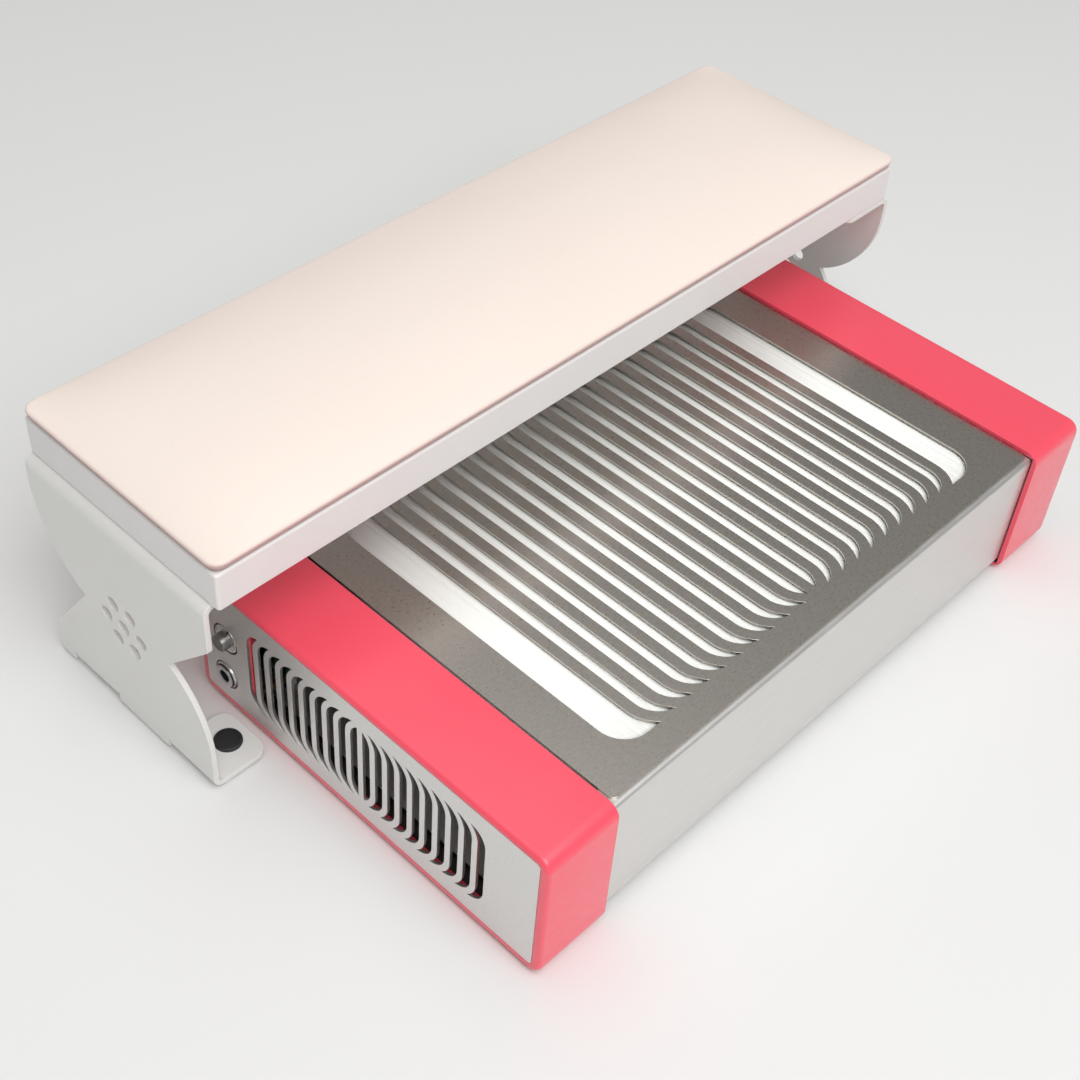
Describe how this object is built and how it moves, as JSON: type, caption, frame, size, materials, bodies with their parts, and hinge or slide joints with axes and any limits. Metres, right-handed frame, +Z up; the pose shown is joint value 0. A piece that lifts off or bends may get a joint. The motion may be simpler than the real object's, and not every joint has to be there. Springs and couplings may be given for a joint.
{
  "type": "nail dust collector with arm rest",
  "caption": "Flat table-top nail dust collector with a slotted steel lid over a pleated filter, under a padded arm rest on folded sheet brackets.",
  "frame": {"origin": "middle of the footprint on the table top, below the middle of the arm rest in X", "axes": "+X to the right along the arm rest and the collector, +Y from the collector's front to the back, +Z up"},
  "size_m": [0.411, 0.254, 0.144],
  "materials": {
    "blush_leatherette": "satin, fine grain",
    "plywood": "matte",
    "white_board": "satin paint",
    "white_powder_coat": "satin powder coat",
    "coral_powder_coat": "satin powder coat",
    "satin_steel": "satin",
    "grained_steel": "scratch grain",
    "zinc_steel": "zinc plated",
    "black_rubber": "matte",
    "grey_foam": "matte foam",
    "white_plastic": "matte",
    "filter_paper": "matte",
    "black_plastic": "matte",
    "cast_aluminium": "bare",
    "copper_winding": "lacquered wire",
    "bearing_steel": "polished",
    "magnet": "bare",
    "knob_metal": "satin",
    "circuit_board": "solder mask",
    "brass_plain": "bare",
    "red_lead": "matte",
    "black_lead": "matte"
  },
  "bodies": {
    "arm_rest": {"cushion_pad": "blush_leatherette", "cushion_base": "plywood", "rest_board": "white_board", "left_bracket": "white_powder_coat", "right_bracket": "white_powder_coat", "bracket_screws": "zinc_steel", "cushion_screws": "zinc_steel", "foot_plugs": "black_rubber"},
    "collector": {"case_channel": "satin_steel", "left_cap": "coral_powder_coat", "right_cap": "coral_powder_coat", "left_end_plate": "satin_steel", "right_end_plate": "satin_steel", "end_plate_studs": "zinc_steel", "end_plate_nuts": "zinc_steel", "cap_screws": "zinc_steel", "case_feet": "black_rubber", "lid_magnets": "bearing_steel", "fan_deck": "satin_steel", "deck_studs": "zinc_steel", "filter_seal": "grey_foam", "left_inlet_ring": "black_plastic", "right_inlet_ring": "black_plastic", "left_motor_mount": "cast_aluminium", "right_motor_mount": "cast_aluminium", "left_stator": "copper_winding", "right_stator": "copper_winding", "left_bearings": "bearing_steel", "right_bearings": "bearing_steel", "motor_screws": "zinc_steel", "control_board": "circuit_board", "board_standoffs": "brass_plain", "potentiometer": "zinc_steel", "pot_nut": "zinc_steel", "dc_jack": "black_plastic", "jack_nut": "zinc_steel", "left_motor_leads": "red_lead", "right_motor_leads": "red_lead", "jack_leads": "black_lead"},
    "left_fan": {"left_impeller": "black_plastic", "left_magnet_ring": "magnet", "left_shaft": "bearing_steel"},
    "right_fan": {"right_impeller": "black_plastic", "right_magnet_ring": "magnet", "right_shaft": "bearing_steel"},
    "knob": {"speed_knob": "knob_metal", "pot_shaft": "bearing_steel"},
    "lid": {"grille_lid": "grained_steel", "lid_guides": "grained_steel"},
    "filter": {"filter_frame": "white_plastic", "filter_pleats": "filter_paper"}
  },
  "joints": [
    {"name": "collector_slide", "type": "slide", "parent": "arm_rest", "child": "collector", "axis": [0, -1, 0], "range_m": [0, 0.16]},
    {"name": "lid_lift", "type": "slide", "parent": "collector", "child": "lid", "axis": [0, 0, 1], "range_m": [0, 0.034]},
    {"name": "filter_lift", "type": "slide", "parent": "collector", "child": "filter", "axis": [0, 0, 1], "range_m": [0, 0.0306]},
    {"name": "knob_turn", "type": "hinge", "parent": "collector", "child": "knob", "pos_m": [-0.173, 0.0523, 0.043], "axis": [1, 0, 0], "range_deg": [-155, 115]},
    {"name": "left_fan_spin", "type": "hinge", "parent": "collector", "child": "left_fan", "pos_m": [-0.062, -0.028, 0.02], "axis": [0, 0, 1], "continuous": true},
    {"name": "right_fan_spin", "type": "hinge", "parent": "collector", "child": "right_fan", "pos_m": [0.066, -0.028, 0.02], "axis": [0, 0, 1], "continuous": true}
  ],
  "couplings": [
    {"joint": "filter_lift", "follows": "lid_lift", "ratio": 0.9}
  ]
}
